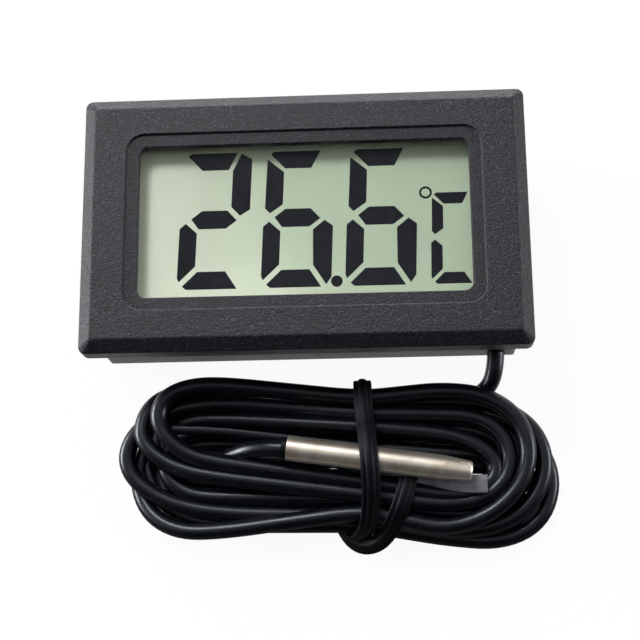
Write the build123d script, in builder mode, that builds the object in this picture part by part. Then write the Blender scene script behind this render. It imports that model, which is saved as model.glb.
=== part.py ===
from build123d import *
import math
import os

# Digital panel thermometer with a probe on a cord, lying on its back. Millimetres.
# +X is to the display's right, +Y to its top, +Z out of the display.
# The origin is under the middle of the case, on the surface that the case lies on.

os.makedirs("parts", exist_ok=True)

# ---- Case ----
case_depth = 15.2
bezel_width = 48.0
bezel_height = 28.6
bezel_thickness = 3.1
bezel_corner = 0.8
bevel_drop = 0.96
bevel_inset = 1.32
bevel_edge_radius = 0.4
flange_edge_radius = 0.25
ring_edge_radius = 0.12
flange_overhang = 1.2
body_width = bezel_width - 2 * flange_overhang
body_height = bezel_height - 2 * flange_overhang
body_corner = 0.8
wall = 1.3
floor_thickness = 2.4
back_slope_rise = 4.2
back_slope_inset = 1.2
housing_top = case_depth - bezel_thickness
inner_width = body_width - 2 * wall
inner_height = body_height - 2 * wall
inner_step = 0.6
case_side_y = -body_height / 2

# ---- Window and display stack ----
window_width = 35.6
window_height = 17.0
window_corner = 1.0
window_depth = 1.0
ring_margin = 1.4
ring_depth = 0.3
ring_corner = 2.0
contact_ledge = 1.75
glass_margin = 2.2
seal_width = 0.4
glass_thickness = 0.7
polariser_thickness = 0.2
polariser_margin = 1.7
cell_gap = 0.1
reflector_thickness = 0.15
glass_clearance = 0.3
glass_width = window_width + 2 * glass_margin
rear_glass_height = window_height + 2 * seal_width + 0.1
front_glass_height = rear_glass_height + 2 * contact_ledge
polariser_top = case_depth - window_depth
front_glass_top = polariser_top - polariser_thickness
front_glass_bottom = front_glass_top - glass_thickness
rear_glass_top = front_glass_bottom - cell_gap
rear_glass_bottom = rear_glass_top - glass_thickness
reflector_bottom = rear_glass_bottom - reflector_thickness
pocket_width = glass_width + 2 * glass_clearance
pocket_height = front_glass_height + 2 * glass_clearance

# ---- Bezel's locating rims, which snap into the housing ----
rim_length = 34.0
rim_depth = 1.5
rim_clearance = 0.1
ridge_length = 8.0
ridge_radius = 0.25
rim_outer = inner_height / 2 - rim_clearance
rim_thickness = rim_outer - pocket_height / 2 - rim_clearance
ridge_z = housing_top - rim_depth / 2

# ---- Button cells, compartment and door ----
cell_diameter = 11.6
cell_height = 5.4
cell_cap_diameter = 9.6
cell_cap_height = 0.5
cell_spacing = 0.8
cell_clearance = 0.4
compartment_wall = 1.0
door_thickness = 1.3
door_overlap = 1.2
door_tongue = 0.9
door_lip = 0.7
door_clearance = 0.15
tongue_clearance = 0.05
bridge_thickness = 0.2
bridge_clearance = 0.1
cell_pitch = cell_diameter + cell_spacing
compartment_width = cell_pitch + cell_diameter + 2 * cell_clearance
compartment_height = cell_diameter + 2 * cell_clearance
door_width = compartment_width + 2 * door_overlap
door_front = -(compartment_height / 2 + door_overlap)
door_back = body_height / 2 - back_slope_inset - 0.2
cell_bottom = door_thickness + bridge_thickness + bridge_clearance
cell_top = cell_bottom + cell_height
channel_top = cell_bottom + bridge_clearance

# ---- Circuit board and what is on it ----
board_thickness = 0.8
board_side_gap = 1.3
board_end_gap = 0.5
spring_room = 0.9
spring_thickness = 0.25
spring_width = 4.0
board_width = inner_width - 2 * board_side_gap
board_height = inner_height - 2 * board_end_gap
board_bottom = cell_top + spring_room
board_top = board_bottom + board_thickness
post_size = 1.6
post_x = board_width / 2 - 2.8
post_y = inner_height / 2 - inner_step - post_size / 2
zebra_length = 34.0
zebra_width = 1.4
zebra_y = rear_glass_height / 2 + contact_ledge / 2
carrier_rim = 0.35
carrier_gap = 0.1
zebra_slot_clearance = 0.05
carrier_bore_width = 30.0
carrier_bore_height = 15.4

# ---- Panel clips ----
clip_width = 6.6
clip_thickness = 1.2
clip_gap = 0.2
clip_pivot_z = 2.2
clip_tip_z = 11.0
clip_step_z = 9.6
clip_reach = 1.1
clip_pivot_x = body_width / 2 - 0.05 - clip_thickness / 2

# ---- Cord and its exit from the case ----
cord_diameter = 1.9
cord_wall_gap = 0.05
cord_exit_z = 5.4
cord_hole_clearance = 0.1
cord_inner_length = wall + inner_step + 2.8
wire_diameter = 0.6
wire_offset = 0.42
cord_radius = cord_diameter / 2
cord_exit_x = inner_width / 2 - cord_radius - cord_wall_gap


def from_exit(x, y, z):
    """A place on the cord, the probe or the tie, measured from where the cord leaves the case."""
    return Vector(cord_exit_x + x, case_side_y + y, z)


# ---- Probe ----
probe_length = 20.0
probe_taper_length = 3.0
probe_taper = 0.55
probe_wall = 0.2
probe_seat_gap = 0.05
sleeve_wall = 0.17
sleeve_gap = 0.03
sleeve_inside = 2.0
sleeve_outside = 0.6
bead_length = 2.0
bead_diameter = 1.2
bead_start = 15.0
hank_height = 5.8
probe_diameter = cord_diameter + 2 * (sleeve_wall + sleeve_gap + probe_wall)
probe_tip_diameter = probe_diameter - probe_taper
probe_z = hank_height + probe_seat_gap + probe_diameter / 2
probe_start = from_exit(-22.96, -10.44, probe_z)
probe_turn = -8.3

# ---- Twist tie ----
tie_width = 2.0
tie_thickness = 0.5
tie_x = cord_exit_x - 14.6
tie_side_gap = 0.3
tie_floor_gap = 0.1
tie_tail_diameter = 1.2


# ================= Case =================

with BuildPart() as front_bezel:
    # Flange with its bevelled rim.
    with BuildSketch(Plane.XY.offset(housing_top)):
        RectangleRounded(bezel_width, bezel_height, bezel_corner)
    extrude(amount=bezel_thickness - bevel_drop)
    with BuildSketch(Plane.XY.offset(case_depth - bevel_drop)):
        RectangleRounded(bezel_width, bezel_height, bezel_corner)
    with BuildSketch(Plane.XY.offset(case_depth)):
        RectangleRounded(bezel_width - 2 * bevel_inset, bezel_height - 2 * bevel_inset, bezel_corner / 2)
    loft()
    # The mould rounds the bevel's upper and lower edges.
    fillet(front_bezel.edges().group_by(Axis.Z)[-1], radius=bevel_edge_radius)
    bevel_foot = case_depth - bevel_drop
    foot_edges = front_bezel.edges().filter_by_position(Axis.Z, bevel_foot - 0.001, bevel_foot + 0.001)
    fillet(foot_edges, radius=flange_edge_radius)
    # Recessed ring, window and the pocket for the display behind it.
    with BuildSketch(Plane.XY.offset(case_depth - ring_depth)):
        RectangleRounded(window_width + 2 * ring_margin, window_height + 2 * ring_margin, ring_corner)
    extrude(amount=ring_depth, mode=Mode.SUBTRACT)
    with BuildSketch(Plane.XY.offset(polariser_top)):
        RectangleRounded(window_width, window_height, window_corner)
    extrude(amount=window_depth, mode=Mode.SUBTRACT)
    ring_face_z = case_depth - ring_depth
    window_edges = front_bezel.edges().filter_by_position(Axis.Z, ring_face_z - 0.001, ring_face_z + 0.001)
    fillet(window_edges, radius=ring_edge_radius)
    ring_edges = front_bezel.edges().group_by(Axis.Z)[-1].filter_by_position(
        Axis.X, -window_width / 2 - ring_margin - 0.001, window_width / 2 + ring_margin + 0.001
    )
    fillet(ring_edges, radius=ring_edge_radius)
    with BuildSketch(Plane.XY.offset(housing_top)):
        Rectangle(pocket_width, pocket_height)
    extrude(amount=polariser_top - housing_top, mode=Mode.SUBTRACT)
    # Two rims reach into the housing, each with a ridge that snaps into its groove.
    with BuildSketch(Plane.XY.offset(housing_top - rim_depth)):
        with Locations((0, rim_outer - rim_thickness / 2), (0, rim_thickness / 2 - rim_outer)):
            Rectangle(rim_length, rim_thickness)
    extrude(amount=rim_depth)
    for side in (-1, 1):
        with BuildSketch(Plane.YZ.offset(-ridge_length / 2)):
            with Locations((side * rim_outer, ridge_z)):
                Circle(ridge_radius)
        extrude(amount=ridge_length)
front_bezel.part.label = "front_bezel"
export_step(front_bezel.part, "parts/front_bezel.step")

with BuildPart() as rear_housing:
    with BuildSketch():
        RectangleRounded(body_width, body_height, body_corner)
    extrude(amount=housing_top)
    # The two long back edges slope in.
    with BuildSketch(Plane.YZ) as slopes:
        with BuildLine():
            Polyline(
                (body_height / 2, back_slope_rise),
                (body_height / 2, 0),
                (body_height / 2 - back_slope_inset, 0),
                close=True,
            )
        make_face()
        mirror(about=Plane.YZ)
    extrude(amount=body_width / 2, both=True, mode=Mode.SUBTRACT)
    # Inside of the tub, narrower beside the sloping edges.
    with BuildSketch(Plane.XY.offset(floor_thickness)):
        Rectangle(inner_width, inner_height - 2 * inner_step)
    extrude(amount=back_slope_rise - floor_thickness, mode=Mode.SUBTRACT)
    with BuildSketch(Plane.XY.offset(back_slope_rise)):
        Rectangle(inner_width, inner_height)
    extrude(amount=housing_top - back_slope_rise, mode=Mode.SUBTRACT)
    # Walls of the battery compartment, and its opening through the floor.
    with BuildSketch(Plane.XY.offset(floor_thickness)):
        Rectangle(compartment_width + 2 * compartment_wall, compartment_height + 2 * compartment_wall)
    extrude(amount=cell_top - floor_thickness)
    with BuildSketch():
        Rectangle(compartment_width, compartment_height)
    extrude(amount=cell_top, mode=Mode.SUBTRACT)
    # Channel for the door and its tongues, open at the upper long side.
    channel_front = door_front - door_clearance
    channel_length = body_height / 2 - channel_front
    with BuildSketch():
        with Locations((0, channel_front)):
            Rectangle(door_width + 2 * door_clearance, channel_length, align=(Align.CENTER, Align.MIN))
    extrude(amount=door_lip, mode=Mode.SUBTRACT)
    with BuildSketch(Plane.XY.offset(door_lip)):
        with Locations((0, channel_front)):
            Rectangle(
                door_width + 2 * door_tongue + 2 * door_clearance,
                channel_length,
                align=(Align.CENTER, Align.MIN),
            )
    extrude(amount=channel_top - door_lip, mode=Mode.SUBTRACT)
    # Four posts carry the circuit board.
    with BuildSketch(Plane.XY.offset(floor_thickness)):
        with GridLocations(2 * post_x, 2 * post_y, 2, 2):
            Rectangle(post_size, post_size)
    extrude(amount=board_bottom - floor_thickness)
    # Slots for the two panel clips.
    with BuildSketch(Plane.XY.offset(clip_pivot_z - clip_thickness / 2 - clip_gap)):
        with GridLocations(body_width - wall, 0, 2, 1):
            Rectangle(2 * wall, clip_width + 2 * clip_gap)
    extrude(amount=housing_top, mode=Mode.SUBTRACT)
    # Grooves for the bezel's ridges.
    for side in (-1, 1):
        with BuildSketch(Plane.YZ.offset(-ridge_length / 2 - rim_clearance)):
            with Locations((side * rim_outer, ridge_z)):
                Circle(ridge_radius + rim_clearance)
        extrude(amount=ridge_length + 2 * rim_clearance, mode=Mode.SUBTRACT)
    # Cord hole in the lower long side.
    with BuildSketch(Plane.XZ.offset(-case_side_y - 2 * wall)):
        with Locations((cord_exit_x, cord_exit_z)):
            Circle(cord_radius + cord_hole_clearance)
    extrude(amount=3 * wall, mode=Mode.SUBTRACT)
rear_housing.part.label = "rear_housing"
export_step(rear_housing.part, "parts/rear_housing.step")

for side, clip_name in ((-1, "left_clip"), (1, "right_clip")):
    with BuildPart() as clip:
        clip_inner_x = clip_pivot_x - clip_thickness / 2
        clip_outer_x = clip_pivot_x + clip_thickness / 2
        with BuildSketch(Plane.XZ):
            with BuildLine():
                Polyline(
                    (side * clip_inner_x, clip_pivot_z),
                    (side * clip_outer_x, clip_pivot_z),
                    (side * clip_outer_x, clip_pivot_z + clip_thickness),
                    (side * (clip_outer_x + clip_reach), clip_step_z - clip_reach / 2),
                    (side * (clip_outer_x + clip_reach), clip_step_z),
                    (side * clip_outer_x, clip_step_z),
                    (side * clip_outer_x, clip_tip_z),
                    (side * clip_inner_x, clip_tip_z),
                    close=True,
                )
            make_face()
            with Locations((side * clip_pivot_x, clip_pivot_z)):
                Circle(clip_thickness / 2)
        extrude(amount=clip_width / 2, both=True)
    clip.part.label = clip_name
    export_step(clip.part, f"parts/{clip_name}.step")

with BuildPart() as battery_door:
    door_length = door_back - door_front
    with BuildSketch():
        with Locations((0, door_front)):
            Rectangle(door_width, door_length, align=(Align.CENTER, Align.MIN))
    extrude(amount=door_thickness)
    with BuildSketch(Plane.XY.offset(door_lip + tongue_clearance)):
        with Locations((0, door_front)):
            Rectangle(door_width + 2 * door_tongue, door_length, align=(Align.CENTER, Align.MIN))
    extrude(amount=door_thickness - door_lip - tongue_clearance)
    # Grip grooves for a thumb.
    with BuildSketch():
        with Locations((0, 6.0)):
            with GridLocations(0, 1.3, 1, 5):
                SlotOverall(11.0, 0.6)
    extrude(amount=0.3, mode=Mode.SUBTRACT)
battery_door.part.label = "battery_door"
export_step(battery_door.part, "parts/battery_door.step")

with BuildPart() as bridge_contact:
    with BuildSketch(Plane.XY.offset(door_thickness)):
        RectangleRounded(cell_pitch + cell_cap_diameter / 2, cell_diameter / 2, 0.8)
    extrude(amount=bridge_thickness)
bridge_contact.part.label = "bridge_contact"
export_step(bridge_contact.part, "parts/bridge_contact.step")


# ================= Display stack =================

with BuildPart() as front_polariser:
    with BuildSketch(Plane.XY.offset(front_glass_top)):
        Rectangle(window_width + 2 * polariser_margin, window_height + 2 * polariser_margin)
    extrude(amount=polariser_thickness)
front_polariser.part.label = "front_polariser"
export_step(front_polariser.part, "parts/front_polariser.step")

with BuildPart() as front_glass:
    with BuildSketch(Plane.XY.offset(front_glass_bottom)):
        Rectangle(glass_width, front_glass_height)
    extrude(amount=glass_thickness)
front_glass.part.label = "front_glass"
export_step(front_glass.part, "parts/front_glass.step")

with BuildPart() as edge_seal:
    with BuildSketch(Plane.XY.offset(rear_glass_top)):
        Rectangle(glass_width, rear_glass_height)
        Rectangle(glass_width - 2 * seal_width, rear_glass_height - 2 * seal_width, mode=Mode.SUBTRACT)
    extrude(amount=cell_gap)
edge_seal.part.label = "edge_seal"
export_step(edge_seal.part, "parts/edge_seal.step")

with BuildPart() as rear_glass:
    with BuildSketch(Plane.XY.offset(rear_glass_bottom)):
        Rectangle(glass_width, rear_glass_height)
    extrude(amount=glass_thickness)
rear_glass.part.label = "rear_glass"
export_step(rear_glass.part, "parts/rear_glass.step")

with BuildPart() as reflector:
    with BuildSketch(Plane.XY.offset(reflector_bottom)):
        Rectangle(glass_width - 2 * seal_width, rear_glass_height - seal_width)
    extrude(amount=reflector_thickness)
reflector.part.label = "reflector"
export_step(reflector.part, "parts/reflector.step")

# A digit is drawn in its own cell, from its lower left corner, with strokes of one width.
digit_width = 7.55
digit_height = 15.45
digit_stroke = 1.95
digit_slant = 0.04
digit_base = -7.28
digit_starts = {"2": -13.8, "6_first": -4.75, "6_second": 4.28}
unit_width = 5.0
unit_height = 10.2
unit_stroke = 1.25
unit_slant = 0.02
unit_start = 13.45
point_position = (3.41, -6.72)
point_radius = 0.62
degree_position = (13.1, 2.98)
degree_outer = 0.69
degree_inner = 0.47


def segment_outlines(width, height, stroke):
    """Corner points of the seven segments, named a to g clockwise from the top, g in the middle."""
    middle = height / 2
    right = width
    return {
        "a": [
            (0.28 * stroke, height - 0.15 * stroke),
            (0.46 * stroke, height),
            (right - 0.84 * stroke, height),
            (right - 1.3 * stroke, height - stroke),
            (1.1 * stroke, height - stroke),
        ],
        "b": [
            (right - 0.6 * stroke, height - 0.05 * stroke),
            (right, height - 0.4 * stroke),
            (right, middle + 0.6 * stroke),
            (right - 0.55 * stroke, middle + 0.25 * stroke),
            (right - 1.05 * stroke, middle + 0.77 * stroke),
            (right - 1.05 * stroke, height - 1.08 * stroke),
        ],
        "c": [
            (right - 0.47 * stroke, middle - 0.14 * stroke),
            (right - 1.1 * stroke, middle - 0.67 * stroke),
            (right - 1.03 * stroke, 1.25 * stroke),
            (right - 0.28 * stroke, 0.13 * stroke),
            (right, 0.56 * stroke),
            (right, middle - 0.48 * stroke),
        ],
        "d": [
            (0.3 * stroke, 0.18 * stroke),
            (0.53 * stroke, 0),
            (right - 0.55 * stroke, 0),
            (right - 1.22 * stroke, stroke),
            (1.1 * stroke, stroke),
        ],
        "e": [
            (0.33 * stroke, middle - 0.16 * stroke),
            (0.97 * stroke, middle - 0.73 * stroke),
            (0.97 * stroke, 1.33 * stroke),
            (0.1 * stroke, 0.44 * stroke),
            (0, 0.67 * stroke),
            (0, middle - 0.45 * stroke),
        ],
        "f": [
            (0.1 * stroke, height - 0.45 * stroke),
            (1.05 * stroke, height - 1.23 * stroke),
            (1.05 * stroke, middle + 0.85 * stroke),
            (0.35 * stroke, middle + 0.34 * stroke),
            (0.07 * stroke, middle + 0.63 * stroke),
        ],
        "g": [
            (0.62 * stroke, middle + 0.09 * stroke),
            (1.2 * stroke, middle + 0.56 * stroke),
            (right - 1.26 * stroke, middle + 0.56 * stroke),
            (right - 0.72 * stroke, middle - 0.02 * stroke),
            (right - 1.3 * stroke, middle - 0.48 * stroke),
            (1.05 * stroke, middle - 0.48 * stroke),
        ],
    }


def draw_segments(letters, start, base, outlines, slant):
    """Adds the named segments to the open sketch as separate faces."""
    for letter in letters:
        Polygon(*[(start + x + slant * y, base + y) for x, y in outlines[letter]], align=None)


with BuildPart() as display_segments:
    digit_outlines = segment_outlines(digit_width, digit_height, digit_stroke)
    unit_outlines = segment_outlines(unit_width, unit_height, unit_stroke)
    with BuildSketch(Plane.XY.offset(rear_glass_top)):
        draw_segments("abged", digit_starts["2"], digit_base, digit_outlines, digit_slant)
        draw_segments("afgecd", digit_starts["6_first"], digit_base, digit_outlines, digit_slant)
        draw_segments("afgecd", digit_starts["6_second"], digit_base, digit_outlines, digit_slant)
        draw_segments("afed", unit_start, digit_base, unit_outlines, unit_slant)
        with Locations(point_position):
            Circle(point_radius)
        with Locations(degree_position):
            Circle(degree_outer)
            Circle(degree_inner, mode=Mode.SUBTRACT)
    extrude(amount=cell_gap)
display_segments.part.label = "display_segments"
export_step(display_segments.part, "parts/display_segments.step")

for side, zebra_name in ((1, "zebra_strip_upper"), (-1, "zebra_strip_lower")):
    with BuildPart() as zebra:
        with BuildSketch(Plane.XY.offset(board_top)):
            with Locations((0, side * zebra_y)):
                Rectangle(zebra_length, zebra_width)
        extrude(amount=front_glass_bottom - board_top)
    zebra.part.label = zebra_name
    export_step(zebra.part, f"parts/{zebra_name}.step")

with BuildPart() as display_carrier:
    slot_width = zebra_width + 2 * zebra_slot_clearance
    with BuildSketch(Plane.XY.offset(board_top)):
        Rectangle(pocket_width - 2 * carrier_gap, 2 * zebra_y + slot_width + 2 * carrier_rim)
        Rectangle(carrier_bore_width, carrier_bore_height, mode=Mode.SUBTRACT)
        with Locations((0, zebra_y), (0, -zebra_y)):
            Rectangle(zebra_length + 2 * zebra_slot_clearance, slot_width, mode=Mode.SUBTRACT)
    extrude(amount=reflector_bottom - carrier_gap / 2 - board_top)
display_carrier.part.label = "display_carrier"
export_step(display_carrier.part, "parts/display_carrier.step")


# ================= Circuit board and cells =================

with BuildPart() as circuit_board:
    with BuildSketch(Plane.XY.offset(board_bottom)):
        RectangleRounded(board_width, board_height, 0.6)
    extrude(amount=board_thickness)
circuit_board.part.label = "circuit_board"
export_step(circuit_board.part, "parts/circuit_board.step")

with BuildPart() as controller_blob:
    with BuildSketch(Plane.XY.offset(board_top)):
        with Locations((-3.0, 0.8)):
            Circle(3.8)
    extrude(amount=1.2)
    fillet(controller_blob.faces().sort_by(Axis.Z)[-1].edges(), 0.9)
controller_blob.part.label = "controller_blob"
export_step(controller_blob.part, "parts/controller_blob.step")

with BuildPart() as crystal_can:
    with BuildSketch(Plane.YZ.offset(4.0)):
        with Locations((4.6, board_top + 1.05)):
            Circle(1.0)
    extrude(amount=6.2)
    fillet(crystal_can.faces().sort_by(Axis.X)[-1].edges(), 0.3)
crystal_can.part.label = "crystal_can"
export_step(crystal_can.part, "parts/crystal_can.step")

with BuildPart() as chip_resistors:
    with BuildSketch(Plane.XY.offset(board_top)):
        with Locations((7.2, 0.4), (10.4, -4.6)):
            with GridLocations(2.6, 2.2, 2, 2):
                Rectangle(1.6, 0.8)
    extrude(amount=0.5)
chip_resistors.part.label = "chip_resistors"
export_step(chip_resistors.part, "parts/chip_resistors.step")

with BuildPart() as chip_capacitors:
    with BuildSketch(Plane.XY.offset(board_top)):
        with Locations((-11.0, -3.4), (-10.0, 5.2)):
            with GridLocations(0, 2.4, 1, 2):
                Rectangle(2.0, 1.25)
    extrude(amount=0.9)
chip_capacitors.part.label = "chip_capacitors"
export_step(chip_capacitors.part, "parts/chip_capacitors.step")

# Contact springs on the board's back press on the cells.
for side, spring_name in ((-1, "positive_spring"), (1, "negative_spring")):
    spring_x = side * cell_pitch / 2
    with BuildPart() as spring:
        with BuildSketch(Plane.XZ):
            with BuildLine():
                Polyline(
                    (spring_x - 4.2, board_bottom),
                    (spring_x - 1.2, board_bottom),
                    (spring_x + 2.0, cell_top + spring_thickness + 0.02),
                    (spring_x + 3.6, cell_top + 2.4 * spring_thickness),
                    (spring_x + 3.6, cell_top + 1.4 * spring_thickness),
                    (spring_x + 2.0, cell_top + 0.02),
                    (spring_x - 1.3, board_bottom - spring_thickness),
                    (spring_x - 4.2, board_bottom - spring_thickness),
                    close=True,
                )
            make_face()
        extrude(amount=spring_width / 2, both=True)
    spring.part.label = spring_name
    export_step(spring.part, f"parts/{spring_name}.step")

# One cell lies with its cap down, the other with its cap up, so that the bridge joins them in series.
for side, cell_name in ((-1, "button_cell_left"), (1, "button_cell_right")):
    can_bottom = cell_bottom + (cell_cap_height if side < 0 else 0)
    cap_bottom = cell_bottom if side < 0 else cell_top - cell_cap_height
    with BuildPart() as cell:
        with BuildSketch(Plane.XY.offset(can_bottom)):
            with Locations((side * cell_pitch / 2, 0)):
                Circle(cell_diameter / 2)
        extrude(amount=cell_height - cell_cap_height)
        fillet(cell.edges(), 0.35)
        with BuildSketch(Plane.XY.offset(cap_bottom)):
            with Locations((side * cell_pitch / 2, 0)):
                Circle(cell_cap_diameter / 2)
        extrude(amount=cell_cap_height)
    cell.part.label = cell_name
    export_step(cell.part, f"parts/{cell_name}.step")


# ================= Cable end inside the case =================

cord_inner_y = case_side_y + cord_inner_length
with BuildPart() as cable_end:
    with BuildSketch(Plane.XZ.offset(-case_side_y)):
        with Locations((cord_exit_x, cord_exit_z)):
            Circle(cord_radius)
    extrude(amount=-cord_inner_length)
cable_end.part.label = "cable_end"
export_step(cable_end.part, "parts/cable_end.step")

with BuildPart() as cable_anchor:
    with BuildSketch(Plane.XY.offset(floor_thickness)):
        with Locations((cord_exit_x - 0.45, cord_inner_y - 1.5)):
            RectangleRounded(2.7, 2.2, 0.5)
    extrude(amount=cord_exit_z + cord_radius + 0.7 - floor_thickness)
    fillet(cable_anchor.faces().sort_by(Axis.Z)[-1].edges(), 0.4)
    with BuildSketch(Plane.XZ.offset(-case_side_y)):
        with Locations((cord_exit_x, cord_exit_z)):
            Circle(cord_radius)
    extrude(amount=-cord_inner_length, mode=Mode.SUBTRACT)
cable_anchor.part.label = "cable_anchor"
export_step(cable_anchor.part, "parts/cable_anchor.step")

for side, wire_name in ((-1, "lead_wire_black"), (1, "lead_wire_white")):
    wire_x = cord_exit_x + side * wire_offset
    with BuildPart() as lead_wire:
        with BuildLine() as wire_path:
            FilletPolyline(
                (wire_x, cord_inner_y, cord_exit_z),
                (wire_x, cord_inner_y + 1.2, cord_exit_z),
                (wire_x - 1.3, cord_inner_y + 2.8, cord_exit_z),
                (wire_x - 1.3, cord_inner_y + 2.8, board_bottom),
                radius=0.5,
            )
        with BuildSketch(Plane(origin=wire_path.line @ 0, z_dir=wire_path.line % 0)):
            Circle(wire_diameter / 2)
        sweep()
    lead_wire.part.label = wire_name
    export_step(lead_wire.part, f"parts/{wire_name}.step")


# ================= Cord, hank and tie =================

def bend_radii(points):
    """As large a radius at each corner as its two runs allow."""
    radii = []
    for before, corner, after in zip(points, points[1:], points[2:]):
        run_in = corner - before
        run_out = after - corner
        half_turn = math.radians(run_in.get_angle(run_out)) / 2
        radii.append(0.45 * min(run_in.length, run_out.length) / math.tan(half_turn))
    return radii


def report_tube(name, tube, path, radii):
    """Prints a cord tube's bend radii, its length, and its volume against section times length."""
    length = sum(edge.length for edge in path.line.edges())
    expected = math.pi * cord_radius**2 * length
    print(name, "radii", [round(r, 1) for r in radii], "length", round(length, 2))
    print(name, "volume", round(tube.part.volume, 2), "expected", round(expected, 2))


probe_axis = Vector(1, 0, 0).rotate(Axis.Z, probe_turn)
probe_plane = Plane(origin=probe_start, x_dir=probe_axis, z_dir=(0, 0, 1))

lead_points = [
    from_exit(0, 0, cord_exit_z),
    from_exit(0, -2.2, cord_exit_z),
    from_exit(-0.6, -4.8, cord_exit_z - 0.6),
]
with BuildPart() as cord_lead:
    lead_radii = bend_radii(lead_points)
    with BuildLine() as lead_path:
        FilletPolyline(*lead_points, radius=lead_radii)
    with BuildSketch(Plane(origin=lead_path.line @ 0, z_dir=lead_path.line % 0)):
        Circle(cord_radius)
    sweep()
cord_lead.part.label = "cord_lead"
export_step(cord_lead.part, "parts/cord_lead.step")
report_tube("cord_lead", cord_lead, lead_path, lead_radii)

tail_points = [
    probe_start + probe_axis * sleeve_inside,
    probe_start - probe_axis * 2.8,
    from_exit(-30.3, -10.6, hank_height + 0.3),
    from_exit(-34.2, -9.4, hank_height - 1.0),
]
with BuildPart() as cord_tail:
    tail_radii = bend_radii(tail_points)
    with BuildLine() as tail_path:
        FilletPolyline(*tail_points, radius=tail_radii)
    with BuildSketch(Plane(origin=tail_path.line @ 0, z_dir=tail_path.line % 0)):
        Circle(cord_radius)
    sweep()
cord_tail.part.label = "cord_tail"
export_step(cord_tail.part, "parts/cord_tail.step")
report_tube("cord_tail", cord_tail, tail_path, tail_radii)

# Outline of the hank, seen from above: each corner with the radius of its bend.
hank_corners = [
    (from_exit(-42.7, -1.3, 0), 8.0),
    (from_exit(-30.0, -1.2, 0), 20.0),
    (from_exit(-15.5, -3.3, 0), 20.0),
    (from_exit(-5.5, -2.6, 0), 20.0),
    (from_exit(0.5, -2.8, 0), 4.5),
    (from_exit(7.1, -9.5, 0), 4.0),
    (from_exit(6.7, -22.7, 0), 8.0),
    (from_exit(-15.5, -19.3, 0), 20.0),
    (from_exit(-41.1, -20.9, 0), 7.5),
    (from_exit(-42.4, -11.9, 0), 20.0),
]
hank_edge_radius = 1.9
tie_groove_depth = 0.8
tie_groove_gap = 0.2
with BuildPart() as cord_hank:
    with BuildSketch():
        with BuildLine():
            FilletPolyline(
                *[corner for corner, bend in hank_corners],
                radius=[bend for corner, bend in hank_corners],
                close=True,
            )
        make_face()
    extrude(amount=hank_height)
    fillet(cord_hank.faces().sort_by(Axis.Z)[-1].edges(), hank_edge_radius)
    fillet(cord_hank.faces().sort_by(Axis.Z)[0].edges(), hank_edge_radius / 2)
    # The tie passes under the hank in this groove.
    with BuildSketch():
        with Locations((tie_x, case_side_y)):
            Rectangle(tie_width + 2 * tie_groove_gap, 2 * 24.0)
    extrude(amount=tie_groove_depth, mode=Mode.SUBTRACT)
cord_hank.part.label = "cord_hank"
export_step(cord_hank.part, "parts/cord_hank.step")

# The tie is drawn tight over the hank and the probe, so its loop is their outline across.
probe_over_tie = probe_start + probe_axis * ((tie_x - probe_start.X) / probe_axis.X)
tie_top = probe_z + probe_diameter / 2 + 0.1
tie_back_y = case_side_y - 3.2 + tie_side_gap
tie_front_y = case_side_y - 19.5 - tie_side_gap
tie_shoulder_z = hank_height - 0.3
tie_loop = [
    (tie_back_y, tie_floor_gap + tie_thickness),
    (tie_back_y, tie_shoulder_z),
    (probe_over_tie.Y + 1.2, tie_top),
    (probe_over_tie.Y - 1.2, tie_top),
    (tie_front_y, tie_shoulder_z),
    (tie_front_y, tie_floor_gap + tie_thickness),
]
with BuildPart() as tie_band:
    with BuildSketch(Plane.YZ.offset(tie_x - tie_width / 2)):
        with BuildLine():
            FilletPolyline(*tie_loop, radius=0.6, close=True)
        make_face()
        offset(amount=tie_thickness)
        with BuildLine():
            FilletPolyline(*tie_loop, radius=0.6, close=True)
        make_face(mode=Mode.SUBTRACT)
    extrude(amount=tie_width)
tie_band.part.label = "tie_band"
export_step(tie_band.part, "parts/tie_band.step")

with BuildPart() as tie_tail:
    with BuildLine() as tie_tail_path:
        FilletPolyline(
            from_exit(-16.6, -20.5, 0.75),
            from_exit(-15.9, -21.5, 0.9),
            from_exit(-13.7, -22.0, 1.9),
            from_exit(-11.7, -21.5, hank_height - 1.2),
            from_exit(-10.9, -18.5, hank_height + 1.0),
            from_exit(-10.0, -14.8, hank_height + 0.8),
            radius=0.9,
        )
    with BuildSketch(Plane(origin=tie_tail_path.line @ 0, z_dir=tie_tail_path.line % 0)):
        Circle(tie_tail_diameter / 2)
    sweep()
tie_tail.part.label = "tie_tail"
export_step(tie_tail.part, "parts/tie_tail.step")


# ================= Probe =================

bore_radius = probe_diameter / 2 - probe_wall
tip_bore_radius = probe_tip_diameter / 2 - probe_wall
taper_start = probe_length - probe_taper_length
end_wall = 2 * probe_wall
probe_line = Axis(probe_start, probe_axis)

with BuildPart() as probe_tube:
    with BuildSketch(probe_plane):
        with BuildLine():
            Polyline(
                (0, bore_radius),
                (0, probe_diameter / 2),
                (taper_start, probe_diameter / 2),
                (probe_length - 0.2, probe_tip_diameter / 2),
                (probe_length, probe_tip_diameter / 2 - 0.2),
                (probe_length, 0),
                (probe_length - end_wall, 0),
                (probe_length - end_wall, tip_bore_radius),
                (taper_start, bore_radius),
                close=True,
            )
        make_face()
    revolve(axis=probe_line)
probe_tube.part.label = "probe_tube"
export_step(probe_tube.part, "parts/probe_tube.step")

with BuildPart() as probe_sleeve:
    with BuildSketch(probe_plane):
        with Locations((-sleeve_outside, cord_radius)):
            Rectangle(sleeve_outside + sleeve_inside, sleeve_wall, align=(Align.MIN, Align.MIN))
    revolve(axis=probe_line)
probe_sleeve.part.label = "probe_sleeve"
export_step(probe_sleeve.part, "parts/probe_sleeve.step")

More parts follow.
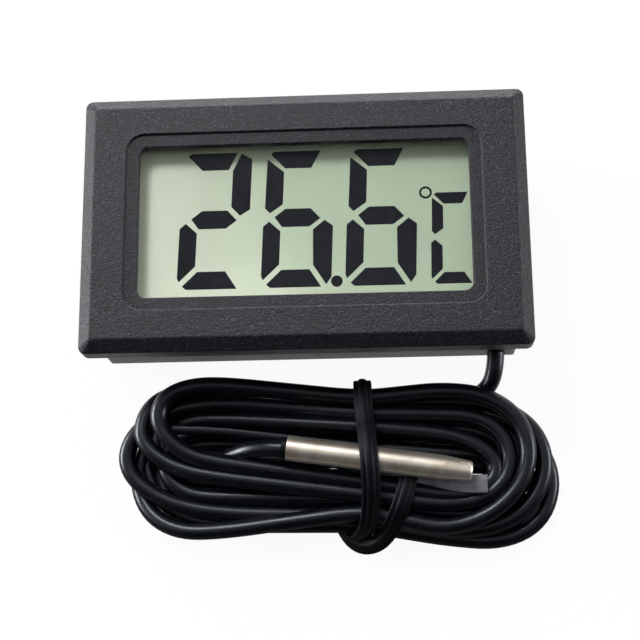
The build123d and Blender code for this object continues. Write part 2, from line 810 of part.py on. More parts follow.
with BuildPart() as thermistor_bead:
    with BuildSketch(probe_plane):
        with BuildLine():
            Polyline(
                (bead_start, 0),
                (bead_start, bead_diameter / 2),
                (bead_start + bead_length - 0.3, bead_diameter / 2),
                (bead_start + bead_length, bead_diameter / 2 - 0.3),
                (bead_start + bead_length, 0),
                close=True,
            )
        make_face()
    revolve(axis=probe_line)
thermistor_bead.part.label = "thermistor_bead"
export_step(thermistor_bead.part, "parts/thermistor_bead.step")

with BuildPart() as thermistor_leads:
    with BuildSketch(Plane(origin=probe_start + probe_axis * sleeve_inside, z_dir=probe_axis)):
        with GridLocations(2 * 0.35, 0, 2, 1):
            Circle(0.2)
    extrude(amount=bead_start - sleeve_inside)
thermistor_leads.part.label = "thermistor_leads"
export_step(thermistor_leads.part, "parts/thermistor_leads.step")

with BuildPart() as probe_potting:
    with BuildSketch(probe_plane):
        with BuildLine():
            Polyline(
                (sleeve_inside, 0),
                (sleeve_inside, bore_radius - 0.01),
                (taper_start, bore_radius - 0.01),
                (probe_length - end_wall - 0.05, tip_bore_radius - 0.01),
                (probe_length - end_wall - 0.05, 0),
                close=True,
            )
        make_face()
    revolve(axis=probe_line)
    add(thermistor_bead.part, mode=Mode.SUBTRACT)
    add(thermistor_leads.part, mode=Mode.SUBTRACT)
probe_potting.part.label = "probe_potting"
export_step(probe_potting.part, "parts/probe_potting.step")
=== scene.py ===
import math

import bpy
from mathutils import Euler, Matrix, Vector


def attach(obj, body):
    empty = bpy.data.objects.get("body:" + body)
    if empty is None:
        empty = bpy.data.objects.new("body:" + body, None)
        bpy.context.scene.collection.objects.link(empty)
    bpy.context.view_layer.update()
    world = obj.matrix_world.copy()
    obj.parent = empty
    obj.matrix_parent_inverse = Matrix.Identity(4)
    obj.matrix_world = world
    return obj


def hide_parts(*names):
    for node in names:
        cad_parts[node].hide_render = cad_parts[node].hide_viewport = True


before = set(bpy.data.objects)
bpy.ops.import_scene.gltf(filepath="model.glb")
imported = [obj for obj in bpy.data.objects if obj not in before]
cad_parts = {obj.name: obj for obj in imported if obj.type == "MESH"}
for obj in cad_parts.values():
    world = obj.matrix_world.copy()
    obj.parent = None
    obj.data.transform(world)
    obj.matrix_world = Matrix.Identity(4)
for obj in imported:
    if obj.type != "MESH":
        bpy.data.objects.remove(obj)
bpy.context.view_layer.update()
scene = bpy.context.scene
scene.view_settings.view_transform = "Standard"
mm = 0.001


def place(x, y, z):
    return Vector((x * mm, y * mm, z * mm))


def link(name, data):
    obj = bpy.data.objects.new(name, data)
    scene.collection.objects.link(obj)
    return obj


# the camera looks down at the display from a little in front of the cord
cameraSet = {
    "from": (8.94, -47.72, 154.36),
    "to": (1.67, -11.46, 15.2),
    "roll": -12.32,
    "lens": 77.68,
    "sensor": 36,
    "clipStart": 5,
}


def makeCamera():
    data = bpy.data.cameras.new("camera")
    data.lens = cameraSet["lens"]
    data.sensor_width = cameraSet["sensor"]
    data.clip_start = cameraSet["clipStart"] * mm
    obj = link("camera", data)
    start, target = place(*cameraSet["from"]), place(*cameraSet["to"])
    look = (target - start).to_track_quat("-Z", "Y")
    roll = Euler((0, 0, math.radians(cameraSet["roll"]))).to_quaternion()
    obj.rotation_mode = "QUATERNION"
    obj.rotation_quaternion = look @ roll
    obj.location = start
    scene.camera = obj


makeCamera()
print("camera made")

# the cord comes out of the case, goes round the hank turn by turn and ends in the probe
cordSet = {
    "diameter": 1.9,
    "length": 0.96,
    "resolution": 6,
    "sides": 5,  # Blender's bevel resolution
    "exit": [(20.5, -13.1, 5.4), (20.4, -15.0, 5.2), (19.6, -16.9, 4.0), (17.2, -18.0, 3.1)],
    "tail": [(-12.6, -24.9, 2.4), (-10.4, -24.3, 3.1), (-8.4, -23.7, 4.3), (-6.2, -23.35, 5.9),
             (-3.6, -23.45, 6.9), (-0.5, -23.83, 7.2)],
    "waist": 5.6,  # x of the tie
    "leftEnd": -10.0,
    "rightEnd": 14.5,
    "steps": 6,
    "swell": 1.03,
    "squareFrom": 3,
    "squareFall": 6.6,
    "halfWay": 0.5,
    "halfWayRise": 0.17,  # how much of the way to an end's height a strand has gone there
    "shoulderRise": 0.35,
}
# Each turn runs along the upper strands to the left end and back along the lower strands to the right
# end. up and low give y and z at the tie. left and right give an end's upper and lower y, where its
# furthest point lies, and how far its upper and lower corners are pushed out.
hankTurns = [
    dict(up=(-18.4, 1.0), left=(-17.6, -31.0, -18.6, -24.0, 1.0, 0.3, 0.2),
         low=(-31.2, 1.0), right=(-18.6, -32.8, 26.3, -26.7, 1.1, 0.6, 1.5)),
    dict(up=(-20.3, 1.0), left=(-19.3, -26.3, -17.4, -23.2, 1.0, 0.4, 0.4),
         low=(-25.8, 1.0), right=(-22.0, -27.0, 22.4, -24.4, 1.0, 0.2, 0.2)),
    dict(up=(-22.2, 1.0), left=(-21.9, -29.6, -17.0, -25.6, 1.0, 0.4, 0.4),
         low=(-29.3, 1.0), right=(-24.8, -31.2, 24.4, -28.4, 1.0, 0.4, 0.6)),
    dict(up=(-24.1, 1.0), left=(-23.6, -28.4, -15.5, -26.0, 2.0, 0.2, 0.2),
         low=(-27.4, 1.2), right=(-23.7, -29.2, 20.6, -26.4, 2.6, 0.4, 0.4)),
    dict(up=(-22.9, 2.8), left=(-20.8, -25.6, -17.2, -21.9, 3.2, 0.3, 0.3),
         low=(-26.8, 3.0), right=(-21.0, -27.6, 21.4, -24.4, 2.8, 0.3, 0.3)),
    dict(up=(-21.1, 2.8), left=(-20.4, -28.2, -16.4, -24.2, 2.7, 0.3, 0.3),
         low=(-28.6, 2.9), right=(-20.2, -30.4, 23.2, -25.6, 2.8, 0.3, 0.6)),
    dict(up=(-19.4, 2.9), left=(-16.6, -26.2, -18.8, -20.9, 4.2, 1.0, -0.2),
         low=(-28.3, 4.6), right=(-19.7, -29.6, 21.6, -24.6, 4.4, 0.4, 0.3)),
    dict(up=(-19.5, 4.7), left=(-17.8, -29.9, -20.7, -23.6, 2.8, 0.2, -0.2),
         low=(-30.4, 2.4), right=(-18.0, -32.2, 25.5, -24.8, 2.9, 0.6, 0.9)),
    dict(up=(-17.9, 3.6), left=(-18.0, -31.9, -19.6, -25.4, 1.2, 0.0, 0.9),
         low=(-30.1, 4.1), right=(-17.2, -32.2, 23.6, -24.0, 5.0, 0.3, -0.2)),
    dict(up=(-18.0, 5.7), left=(-16.1, -24.7, -16.8, -19.4, 5.5, 0.2, -0.1),
         low=(-27.0, 4.9), right=(-21.8, -28.6, 20.0, -25.6, 4.4, -0.4, 0.2)),
    dict(up=(-20.9, 4.6), left=(-19.6, -25.2, -16.6, -22.4, 2.0, 0.4, 0.2), low=None, right=None),
]


def mix(a, b, share):
    return a + (b - a) * share


def roundEnd(endX, end, fromZ, toZ):
    # points from an end's upper shoulder, round its furthest point, to its lower shoulder
    upY, lowY, reachX, reachY, reachZ, lift, drop = end
    middle, half, reach = (upY + lowY) / 2, (upY - lowY) / 2, abs(reachX - endX)
    # a long narrow end closes in a half circle
    squareness = min(1, max(0, cordSet["squareFrom"] - cordSet["squareFall"] * half / reach))
    steps = cordSet["steps"]
    points = []
    for step in range(steps + 1):
        turn = math.pi * step / steps
        out, across = math.sin(turn), math.cos(turn)
        corner = abs(math.sin(2 * turn)) * (lift if across > 0 else -drop)
        closing = 1 - (1 - out) * half / reach if 0 < step < steps else 0
        x = endX + (reachX - endX) * mix(out, closing, squareness) * cordSet["swell"]
        y = middle + half * across + (reachY - middle) * out ** 2 + corner
        shoulderZ = fromZ if across > 0 else toZ
        points.append((x, y, mix(reachZ, shoulderZ, across ** 2)))
    return points


def halfWay(endX, fromY, fromZ, toY, toZ):
    # the point of a strand half way between the tie and an end
    share = cordSet["halfWay"]
    return (mix(cordSet["waist"], endX, share), mix(fromY, toY, share),
            mix(fromZ, toZ, cordSet["halfWayRise"]))


def cordRoute():
    points = list(cordSet["exit"])
    waist, leftEnd, rightEnd = cordSet["waist"], cordSet["leftEnd"], cordSet["rightEnd"]
    rise = cordSet["shoulderRise"]
    for turn, following in zip(hankTurns, hankTurns[1:] + [None]):
        upY, upZ = turn["up"]
        left = turn["left"]
        leftZ = left[4]
        lowY, lowZ = turn["low"] or (left[1], leftZ)
        points.append((waist, upY, upZ))
        points.append(halfWay(leftEnd, upY, upZ, left[0], leftZ))
        end = roundEnd(leftEnd, left, mix(upZ, leftZ, rise), mix(lowZ, leftZ, rise))
        if following is None:
            return points + end[:-1] + cordSet["tail"]
        points += end
        points.append(halfWay(leftEnd, lowY, lowZ, left[1], leftZ))
        points.append((waist, lowY, lowZ))
        right = turn["right"]
        rightZ = right[4]
        nextY, nextZ = following["up"]
        end = roundEnd(rightEnd, right, mix(nextZ, rightZ, rise), mix(lowZ, rightZ, rise))
        points.append(halfWay(rightEnd, lowY, lowZ, right[1], rightZ))
        points += end[::-1]
        points.append(halfWay(rightEnd, nextY, nextZ, right[0], rightZ))


def smoothSpline(data, points, cyclic=False):
    spline = data.splines.new("NURBS")
    spline.points.add(len(points) - 1)
    for point, at in zip(spline.points, points):
        point.co = (*place(*at), 1)
    spline.order_u = 3
    spline.use_cyclic_u = cyclic
    spline.use_endpoint_u = not cyclic


def makeCord():
    data = bpy.data.curves.new("cord", "CURVE")
    data.dimensions = "3D"
    data.resolution_u = cordSet["resolution"]
    data.bevel_depth = cordSet["diameter"] / 2 * mm
    data.bevel_resolution = cordSet["sides"]
    data.use_fill_caps = True
    smoothSpline(data, cordRoute())
    return link("cord", data)


cord = makeCord()
print("cord laid, control points:", len(cord.data.splines[0].points))

# the tie is a flat strap with a wire moulded into a rib along its middle
tieSet = {
    "halfWidth": 0.98,
    "thickness": 0.36,
    "edge": 0.1,
    "ribHalfWidth": 0.5,
    "ribHeight": 0.22,
    "ribSteps": 5,
    "ribFoot": 0.1,  # how far the rib's foot spreads
    "ribFootHeight": 0.02,
    "ribTaper": 0.08,
    "ribBase": 0.05,
    "stubRib": 0.06,
    "resolution": 8,
    "splitAngle": 50,
    "band": [(5.75, -16.3, 5.2), (5.75, -16.5, 6.7), (5.8, -18.3, 7.25), (5.95, -20.6, 7.6),
             (6.2, -22.8, 8.7), (6.4, -25.2, 9.25), (6.55, -27.6, 8.3), (6.45, -29.8, 6.7),
             (6.05, -31.9, 4.9), (5.3, -32.6, 2.9), (4.6, -32.6, 1.3), (4.4, -31.0, 0.75),
             (4.9, -26.0, 0.72), (5.4, -20.0, 0.72), (5.7, -17.0, 0.8), (5.75, -16.1, 2.4)],
    "bandCentre": (5.8, -24.8, 4.2),
    "tail": [(3.0, -30.4, 0.7), (3.7, -32.2, 0.8), (5.2, -33.6, 1.2), (7.0, -33.5, 2.3), (8.4, -32.3, 4.1),
             (9.4, -30.4, 5.6), (10.1, -28.4, 6.2), (10.7, -26.4, 5.9)],
    "tailCentre": (7.2, -30.0, -7.0),
    "stub": [(11.4, -26.2, 5.3), (14.0, -27.0, 5.4), (16.6, -27.6, 5.6), (19.0, -27.6, 5.9)],
    "stubCentre": (14.0, -27.0, -30.0),
}


def smoothLine(points, cyclic):
    # the points that a smooth spline through the given route passes
    data = bpy.data.curves.new("line", "CURVE")
    data.dimensions = "3D"
    data.resolution_u = tieSet["resolution"]
    smoothSpline(data, points, cyclic)
    holder = bpy.data.objects.new("line", data)
    mesh = bpy.data.meshes.new_from_object(holder)
    line = [vertex.co.copy() for vertex in mesh.vertices]
    bpy.data.objects.remove(holder)
    bpy.data.curves.remove(data)
    bpy.data.meshes.remove(mesh)
    return line


def strapProfile(ribHeight):
    # half of the section, across and outward, and then its mirror image
    halfWidth, thickness, edge = tieSet["halfWidth"], tieSet["thickness"], tieSet["edge"]
    rib, base, steps = tieSet["ribHalfWidth"], tieSet["ribBase"], tieSet["ribSteps"]
    half = [(halfWidth, 0), (halfWidth, thickness - edge), (halfWidth - edge, thickness),
            (rib + tieSet["ribFoot"], thickness), (rib, thickness + tieSet["ribFootHeight"])]
    for step in range(steps):
        turn = math.pi / 2 * step / steps
        across = (rib - tieSet["ribTaper"]) * math.cos(turn)
        half.append((across, thickness + base + (ribHeight - base) * math.sin(turn)))
    top = [(0, thickness + ribHeight)]
    return half + top + [(-across, out) for across, out in reversed(half)]


def sweepStrap(name, points, centre, ribHeight, cyclic=False):
    line = smoothLine(points, cyclic)
    profile = strapProfile(ribHeight)
    middle = place(*centre)
    count = len(line)
    vertices, faces = [], []
    for index, at in enumerate(line):
        before = line[index - 1] if cyclic or index else at
        after = line[(index + 1) % count] if cyclic or index < count - 1 else at
        along = (after - before).normalized()
        outward = at - middle
        outward = (outward - along * outward.dot(along)).normalized()
        across = along.cross(outward)
        vertices += [at + across * (a * mm) + outward * (o * mm) for a, o in profile]
    size = len(profile)
    for ring in range(count if cyclic else count - 1):
        nextRing = (ring + 1) % count
        for corner in range(size):
            nextCorner = (corner + 1) % size
            faces.append((ring * size + corner, ring * size + nextCorner,
                          nextRing * size + nextCorner, nextRing * size + corner))
    if not cyclic:
        faces.append(tuple(range(size))[::-1])
        faces.append(tuple((count - 1) * size + corner for corner in range(size)))
    mesh = bpy.data.meshes.new(name)
    mesh.from_pydata(vertices, [], faces)
    mesh.update()
    mesh.shade_smooth()
    obj = link(name, mesh)
    obj.modifiers.new("edges", "EDGE_SPLIT").split_angle = math.radians(tieSet["splitAngle"])
    return obj


tieBand = sweepStrap("tieBand", tieSet["band"], tieSet["bandCentre"], tieSet["ribHeight"], cyclic=True)
tieTail = sweepStrap("tieTail", tieSet["tail"], tieSet["tailCentre"], tieSet["ribHeight"])
tieStub = sweepStrap("tieStub", tieSet["stub"], tieSet["stubCentre"], tieSet["stubRib"])
print("tie swept")


class Link:
    # a node's socket that takes part in sums
    def __init__(self, nodes, socket):
        self.nodes, self.socket = nodes, socket

    def maths(self, operation, *values):
        return self.nodes.node("ShaderNodeMath", {"operation": operation}, list(values))

    def __add__(self, other):
        return self.maths("ADD", self, other)

    def __radd__(self, other):
        return self.maths("ADD", other, self)

    def __sub__(self, other):
        return self.maths("SUBTRACT", self, other)

    def __rsub__(self, other):
        return self.maths("SUBTRACT", other, self)

    def __mul__(self, other):
        return self.maths("MULTIPLY", self, other)

    def __rmul__(self, other):
        return self.maths("MULTIPLY", other, self)

    def between(self, low, high):
        # 0 under low, 1 over high and smooth in between
        return self.nodes.node("ShaderNodeMapRange", {"interpolation_type": "SMOOTHSTEP"},
                               {0: self, 1: low, 2: high})


class Nodes:
    # the nodes of a finish or of the world
    def __init__(self, tree):
        self.tree = tree

    def node(self, kind, settings=None, values=None, output=0):
        made = self.tree.nodes.new(kind)
        for key, value in (settings or {}).items():
            setattr(made, key, value)
        pairs = enumerate(values) if isinstance(values, list) else (values or {}).items()
        for key, value in pairs:
            if isinstance(value, Link):
                self.tree.links.new(value.socket, made.inputs[key])
            else:
                made.inputs[key].default_value = value
        return Link(self, made.outputs[output])

    def show(self, shader):
        # sends a shader to the output
        output = next(node for node in self.tree.nodes if node.type.startswith("OUTPUT"))
        self.tree.links.new(shader.socket, output.inputs["Surface"])


class Finish(Nodes):
    # a material and its nodes
    def __init__(self, name, shaderSet):
        self.material = bpy.data.materials.new(name)
        self.material.use_nodes = True
        super().__init__(self.material.node_tree)
        self.shader = next(node for node in self.tree.nodes if node.type == "BSDF_PRINCIPLED")
        for key, value in shaderSet.items():
            self.shader.inputs[key].default_value = value
        self.place = self.node("ShaderNodeTexCoord", output="Object")

    def feed(self, key, value):
        self.tree.links.new(value.socket, self.shader.inputs[key])

    def noise(self, scale, detail=2, roughness=0.5, at=None):
        values = {"Vector": at or self.place, "Scale": scale, "Detail": detail, "Roughness": roughness}
        return self.node("ShaderNodeTexNoise", None, values)

    def stretched(self, factors):
        return self.node("ShaderNodeVectorMath", {"operation": "MULTIPLY"}, [self.place, factors])

    def axis(self, output):
        return self.node("ShaderNodeSeparateXYZ", None, [self.place], output=output)

    def blend(self, share, first, second):
        # a colour between two, by share
        return self.node("ShaderNodeMix", {"data_type": "RGBA"}, {0: share, 6: first, 7: second}, output=2)

    def bump(self, height, relief, strength):
        # relief is the height's depth in mm
        self.feed("Normal", self.node("ShaderNodeBump", None,
                                      {"Strength": strength, "Distance": relief * mm, "Height": height}))


def colour(red, green, blue):
    # display values from 0 to 255 to a linear colour
    def linear(value):
        value /= 255
        return value / 12.92 if value <= 0.04045 else ((value + 0.055) / 1.055) ** 2.4
    return (linear(red), linear(green), linear(blue), 1.0)


cloudDetail = 3
cloudEdge = (0.3, 0.7)  # where the slow drift between two shades starts and ends

# the case: black plastic from a spark eroded mould
caseSet = {
    "dark": colour(3, 3, 8),
    "light": colour(20, 18, 31),
    "speck": colour(112, 107, 128),
    "gloss": 0.4,
    "grain": 4300,
    "grainDetail": 3,
    "grainRoughness": 0.6,
    "grainEdge": (0.3, 0.72),
    "cloud": 260,
    "speckFineness": 1.4,
    "speckEdge": (0.58, 0.72),
    "speckShare": 0.4,
    "roughness": 0.36,
    "grainSpread": 0.16,
    "cloudSpread": 0.08,
    "relief": 0.1,
    "strength": 1.0,
}


def casePlastic():
    finish = Finish("casePlastic", {"Specular IOR Level": caseSet["gloss"]})
    grain = finish.noise(caseSet["grain"], caseSet["grainDetail"], caseSet["grainRoughness"])
    cloud = finish.noise(caseSet["cloud"])
    specks = finish.noise(caseSet["grain"] * caseSet["speckFineness"]).between(*caseSet["speckEdge"])
    base = finish.blend(grain.between(*caseSet["grainEdge"]), caseSet["dark"], caseSet["light"])
    finish.feed("Base Color", finish.blend(specks * caseSet["speckShare"], base, caseSet["speck"]))
    finish.feed("Roughness",
                caseSet["roughness"] + grain * caseSet["grainSpread"] + cloud * caseSet["cloudSpread"])
    finish.bump(grain, caseSet["relief"], caseSet["strength"])
    return finish.material


# plain plastics, rubbers and resins: their grain, and then the shades, roughness and gloss of each
plainSet = {"cloud": 900, "spread": 0.1, "grain": 3600, "relief": 0.006, "strength": 0.5}
plainShades = {
    "segmentDye": (colour(14, 15, 23), colour(22, 23, 33), 0.6, 0.1),
    "sealResin": (colour(150, 158, 140), colour(172, 178, 160), 0.4, 0.5),
    "zebraRubber": (colour(150, 130, 138), colour(176, 158, 164), 0.6, 0.5),
    "carrierPlastic": (colour(214, 214, 208), colour(228, 228, 222), 0.45, 0.5),
    "blobResin": (colour(16, 16, 18), colour(28, 28, 30), 0.3, 0.5),
    "chipCeramic": (colour(66, 60, 54), colour(96, 86, 74), 0.5, 0.5),
    "anchorGlue": (colour(222, 216, 198), colour(236, 232, 218), 0.3, 0.5),
    "whiteSheath": (colour(226, 226, 222), colour(240, 240, 236), 0.4, 0.5),
    "sealBead": (colour(120, 70, 30), colour(150, 96, 50), 0.2, 0.5),
    # painted sheen: the black tie's stub is coloured light grey to stand in for its shine
    "tieStubPaintedSheen": (colour(92, 94, 102), colour(116, 118, 126), 0.45, 0.5),
}


def plainFinish(name):
    dark, light, roughness, gloss = plainShades[name]
    finish = Finish(name, {"Specular IOR Level": gloss})
    cloud = finish.noise(plainSet["cloud"], cloudDetail)
    finish.feed("Base Color", finish.blend(cloud.between(*cloudEdge), dark, light))
    finish.feed("Roughness", roughness + cloud * plainSet["spread"])
    finish.bump(finish.noise(plainSet["grain"]), plainSet["relief"], plainSet["strength"])
    return finish.material


# the cord's sheath: black rubber with a little dust on it
sheathSet = {
    "dark": colour(3, 5, 10),
    "light": colour(8, 10, 17),
    "dust": colour(120, 120, 128),
    "gloss": 0.45,
    "tint": (0.84, 0.9, 1, 1),
    "cloud": 500,
    "dustGrain": 5200,
    "dustDetail": 1,
    "dustEdge": (0.74, 0.8),
    "dustShare": 0.5,
    "roughness": 0.25,
    "spread": 0.14,
    "grain": 2600,
    "relief": 0.008,
    "strength": 0.4,
}


def cordRubber():
    finish = Finish("cordRubber", {"Specular IOR Level": sheathSet["gloss"],
                                   "Specular Tint": sheathSet["tint"]})
    cloud = finish.noise(sheathSet["cloud"], cloudDetail)
    dust = finish.noise(sheathSet["dustGrain"], sheathSet["dustDetail"]).between(*sheathSet["dustEdge"])
    base = finish.blend(cloud.between(*cloudEdge), sheathSet["dark"], sheathSet["light"])
    finish.feed("Base Color", finish.blend(dust * sheathSet["dustShare"], base, sheathSet["dust"]))
    finish.feed("Roughness", sheathSet["roughness"] + cloud * sheathSet["spread"])
    finish.bump(finish.noise(sheathSet["grain"]), sheathSet["relief"], sheathSet["strength"])
    return finish.material


# the tie: duller vinyl
vinylSet = {
    "dark": colour(2, 3, 6),
    "light": colour(5, 6, 10),
    "gloss": 0.2,
    "tint": (0.84, 0.9, 1, 1),
    "cloud": 700,
    "roughness": 0.42,
    "spread": 0.16,
    "grain": 3000,
    "relief": 0.01,
    "strength": 0.5,
}


def tieVinyl():
    finish = Finish("tieVinyl", {"Specular IOR Level": vinylSet["gloss"],
                                 "Specular Tint": vinylSet["tint"]})
    cloud = finish.noise(vinylSet["cloud"], cloudDetail)
    finish.feed("Base Color", finish.blend(cloud.between(*cloudEdge), vinylSet["dark"], vinylSet["light"]))
    finish.feed("Roughness", vinylSet["roughness"] + cloud * vinylSet["spread"])
    finish.bump(finish.noise(vinylSet["grain"]), vinylSet["relief"], vinylSet["strength"])
    return finish.material


# the probe: tube drawn lengthways, with slight stains
steelSet = {
    "bright": colour(246, 238, 224),
    "stained": colour(214, 200, 182),
    "metallic": 0.9,
    "drawn": 900,
    "drawnDetail": 3,
    "drawnRoughness": 0.6,
    "stretch": (0.12, 1, 1),
    "stain": 420,
    "stainEdge": (0.35, 0.75),
    "roughness": 0.28,
    "spread": 0.12,
    "relief": 0.004,
    "strength": 0.4,
}


def probeSteel():
    finish = Finish("probeSteel", {"Metallic": steelSet["metallic"]})
    drawn = finish.noise(steelSet["drawn"], steelSet["drawnDetail"], steelSet["drawnRoughness"],
                         finish.stretched(steelSet["stretch"]))
    stain = finish.noise(steelSet["stain"], cloudDetail)
    finish.feed("Base Color",
                finish.blend(stain.between(*steelSet["stainEdge"]), steelSet["bright"], steelSet["stained"]))
    finish.feed("Roughness", steelSet["roughness"] + drawn * steelSet["spread"])
    finish.bump(drawn, steelSet["relief"], steelSet["strength"])
    return finish.material


# contacts, cells and the crystal's can
platedSet = {
    "bright": colour(222, 220, 214),
    "dull": colour(200, 196, 188),
    "cloud": 1200,
    "roughness": 0.25,
    "spread": 0.15,
    "relief": 0.004,
    "strength": 0.4,
}


def platedSteel():
    finish = Finish("platedSteel", {"Metallic": 1.0})
    cloud = finish.noise(platedSet["cloud"], cloudDetail)
    finish.feed("Base Color", finish.blend(cloud.between(*cloudEdge), platedSet["bright"], platedSet["dull"]))
    finish.feed("Roughness", platedSet["roughness"] + cloud * platedSet["spread"])
    finish.bump(cloud, platedSet["relief"], platedSet["strength"])
    return finish.material


# clear layers, mostly see-through, with their own gloss: their smears, and then each one's tint,
# alpha and roughness
clearSet = {"smear": 300, "spread": 0.06, "alphaFrom": 0.6, "alphaSpread": 0.8}
clearLayers = {
    "displayFilm": (colour(120, 130, 116), 0.012, 0.22),
    "displayGlass": (colour(120, 132, 122), 0.006, 0.08),
}


def clearSheet(name):
    tint, alpha, roughness = clearLayers[name]
    finish = Finish(name, {"Base Color": tint})
    smear = finish.noise(clearSet["smear"], cloudDetail)
    finish.feed("Roughness", roughness + smear * clearSet["spread"])
    finish.feed("Alpha", alpha * (clearSet["alphaFrom"] + smear * clearSet["alphaSpread"]))
    return finish.material


# the reflector behind the display, with painted light and shade: its tint deepens away from the lower left
# corner, as if lit most there
reflectorSet = {
    "pale": colour(228, 238, 214),
    # the colour of the painted shade away from the lower left corner; pale is the painted light's colour
    "paintedShade": colour(176, 193, 166),
    "fleck": colour(222, 232, 212),
    "grain": 3200,
    "cloud": 90,
    "along": 30,
    "up": 16,
    "cloudShare": 0.1,
    "paintedShadeEdge": (-0.5, 0.15),
    "fleckEdge": (0.55, 0.8),
    "fleckShare": 0.2,
    "roughness": 0.5,
    "spread": 0.1,
    "relief": 0.004,
    "strength": 0.3,
}


def reflectorPaintedShade():
    finish = Finish("reflectorPaintedShade", {})
    grain = finish.noise(reflectorSet["grain"])
    # painted shade: the colour darkens along x and up y away from the lower left corner, with a little random
    # cloud in it
    paintedShadeAndCloud = finish.axis("X") * reflectorSet["along"] + finish.axis("Y") * reflectorSet["up"]
    paintedShadeAndCloud = paintedShadeAndCloud + finish.noise(reflectorSet["cloud"]) * reflectorSet["cloudShare"]
    base = finish.blend(paintedShadeAndCloud.between(*reflectorSet["paintedShadeEdge"]), reflectorSet["pale"], reflectorSet["paintedShade"])
    flecks = grain.between(*reflectorSet["fleckEdge"]) * reflectorSet["fleckShare"]
    finish.feed("Base Color", finish.blend(flecks, base, reflectorSet["fleck"]))
    finish.feed("Roughness", reflectorSet["roughness"] + grain * reflectorSet["spread"])
    finish.bump(grain, reflectorSet["relief"], reflectorSet["strength"])
    return finish.material


# the circuit board: green laminate with its weave
boardSet = {
    "dark": colour(18, 78, 40),
    "light": colour(30, 98, 52),
    "thread": colour(60, 130, 80),
    "roughness": 0.35,
    "weave": 2600,
    "weaveShare": 0.12,
    "cloud": 260,
    "relief": 0.01,
    "strength": 0.3,
}


def boardLaminate():
    finish = Finish("boardLaminate", {"Roughness": boardSet["roughness"]})
    weave = finish.node("ShaderNodeTexChecker", None,
                        {"Vector": finish.place, "Scale": boardSet["weave"]}, output="Fac")
    cloud = finish.noise(boardSet["cloud"])
    base = finish.blend(cloud.between(*cloudEdge), boardSet["dark"], boardSet["light"])
    finish.feed("Base Color", finish.blend(weave * boardSet["weaveShare"], base, boardSet["thread"]))
    finish.bump(weave, boardSet["relief"], boardSet["strength"])
    return finish.material


finishes = [
    (casePlastic(), ["front_bezel", "rear_housing", "battery_door", "left_clip", "right_clip"]),
    (clearSheet("displayFilm"), ["front_polariser"]),
    (clearSheet("displayGlass"), ["front_glass", "rear_glass"]),
    (reflectorPaintedShade(), ["reflector"]),
    (plainFinish("segmentDye"), ["display_segments"]),
    (plainFinish("sealResin"), ["edge_seal"]),
    (plainFinish("zebraRubber"), ["zebra_strip_upper", "zebra_strip_lower"]),
    (plainFinish("carrierPlastic"), ["display_carrier"]),
    (boardLaminate(), ["circuit_board"]),
    (plainFinish("blobResin"), ["controller_blob"]),
    (platedSteel(), ["crystal_can", "positive_spring", "negative_spring",
                     "button_cell_left", "button_cell_right", "bridge_contact"]),
    (plainFinish("chipCeramic"), ["chip_resistors", "chip_capacitors"]),
    (plainFinish("anchorGlue"), ["cable_anchor", "probe_potting"]),
    (plainFinish("whiteSheath"), ["lead_wire_white"]),
    (plainFinish("sealBead"), ["thermistor_bead"]),
    (cordRubber(), ["cable_end", "lead_wire_black", "cord"]),
    (tieVinyl(), ["tieBand", "tieTail", "probe_sleeve"]),
    (plainFinish("tieStubPaintedSheen"), ["tieStub"]),
    (probeSteel(), ["probe_tube", "thermistor_leads"]),
]
for material, pieces in finishes:
    for name in pieces:
        data = bpy.data.objects[name].data
        data.materials.clear()
        data.materials.append(material)
for name in ("front_polariser", "front_glass", "rear_glass", "display_segments"):
    pane = bpy.data.objects[name]
    pane.visible_shadow = pane.visible_diffuse = False  # the display's own layers cast no shade on it
print("finishes on", sum(len(pieces) for material, pieces in finishes), "pieces")

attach(cord, "casing")
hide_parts("cord_lead", "cord_hank", "cord_tail")
for piece, node in ((tieBand, "tie_band"), (tieTail, "tie_tail")):
    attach(piece, "casing")
    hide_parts(node)
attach(tieStub, "casing")
place(*cordSet["exit"][0])

# a pale floor, whose shadow stays faint, under soft lamps
floorSet = {
    "size": 3.0,
    "colour": colour(250, 250, 252),
    "roughness": 0.9,
    "ownLight": 0.94,
    "edge": (-0.03, -0.012),
    "dim": 0.08,
}
white = (1, 1, 1, 1)


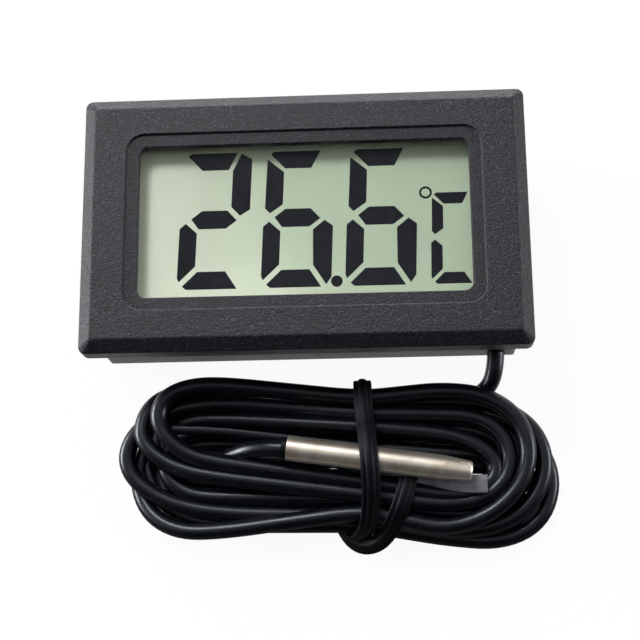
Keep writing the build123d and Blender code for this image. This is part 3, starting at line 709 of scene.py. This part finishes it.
def makeFloor():
    half = floorSet["size"] / 2
    corners = [(-half, -half, 0), (half, -half, 0), (half, half, 0), (-half, half, 0)]
    mesh = bpy.data.meshes.new("floor")
    mesh.from_pydata(corners, [], [(0, 1, 2, 3)])
    floor = link("floor", mesh)
    finish = Finish("floorPaper", {"Base Color": floorSet["colour"], "Roughness": floorSet["roughness"],
                                   "Specular IOR Level": 0.0})
    camera, glossy, through = (finish.node("ShaderNodeLightPath", output=key) for key in
                               ("Is Camera Ray", "Is Glossy Ray", "Is Transmission Ray"))
    share = (camera + glossy + through) * floorSet["ownLight"]
    # mirrored in the object, the floor on the near side is dim
    near = glossy * (1 - finish.axis("Y").between(*floorSet["edge"]))
    bright, dim = (finish.node("ShaderNodeEmission", None, {"Color": white, "Strength": strength})
                   for strength in (1.0, floorSet["dim"]))
    glow = finish.node("ShaderNodeMixShader", None, [near, bright, dim])
    paper = Link(finish, finish.shader.outputs["BSDF"])
    finish.show(finish.node("ShaderNodeMixShader", None, [share, paper, glow]))
    mesh.materials.append(finish.material)


lampAim = (0, -8, 6)
lampSet = {
    # name: (from, size across, size up, power)
    "main": ((-200, 350, 560), 210, 210, 2.45),
    "back": ((-30, 520, 80), 700, 80, 3.3),
    "left": ((-480, 60, 100), 260, 110, 2.9),
    "right": ((480, 20, 100), 220, 100, 1.1),
}


def makeLamps():
    for name, (at, across, up, power) in lampSet.items():
        data = bpy.data.lights.new(name, "AREA")
        data.shape = "RECTANGLE"
        data.size, data.size_y = across * mm, up * mm
        data.energy = power
        lamp = link(name, data)
        lamp.location = place(*at)
        lamp.rotation_euler = (place(*lampAim) - lamp.location).to_track_quat("-Z", "Y").to_euler()


# the room is bright from behind the case to overhead and dark on the cord's side
worldSet = {"bright": 0.5, "dark": 0.03, "edge": (-0.5, 0.05)}


def makeWorld():
    world = bpy.data.worlds.new("studio")
    world.use_nodes = True
    world.node_tree.nodes.remove(world.node_tree.nodes["Background"])
    nodes = Nodes(world.node_tree)
    towards = nodes.node("ShaderNodeTexCoord", output="Generated")
    depth = nodes.node("ShaderNodeSeparateXYZ", None, [towards], output="Y")
    dark, bright, seen = (nodes.node("ShaderNodeBackground", None, {"Color": white, "Strength": strength})
                          for strength in (worldSet["dark"], worldSet["bright"], 1.0))
    room = nodes.node("ShaderNodeMixShader", None, [depth.between(*worldSet["edge"]), dark, bright])
    camera = nodes.node("ShaderNodeLightPath", output="Is Camera Ray")
    nodes.show(nodes.node("ShaderNodeMixShader", None, [camera, room, seen]))
    scene.world = world


makeFloor()
makeLamps()
makeWorld()
print("floor, lamps and world made")
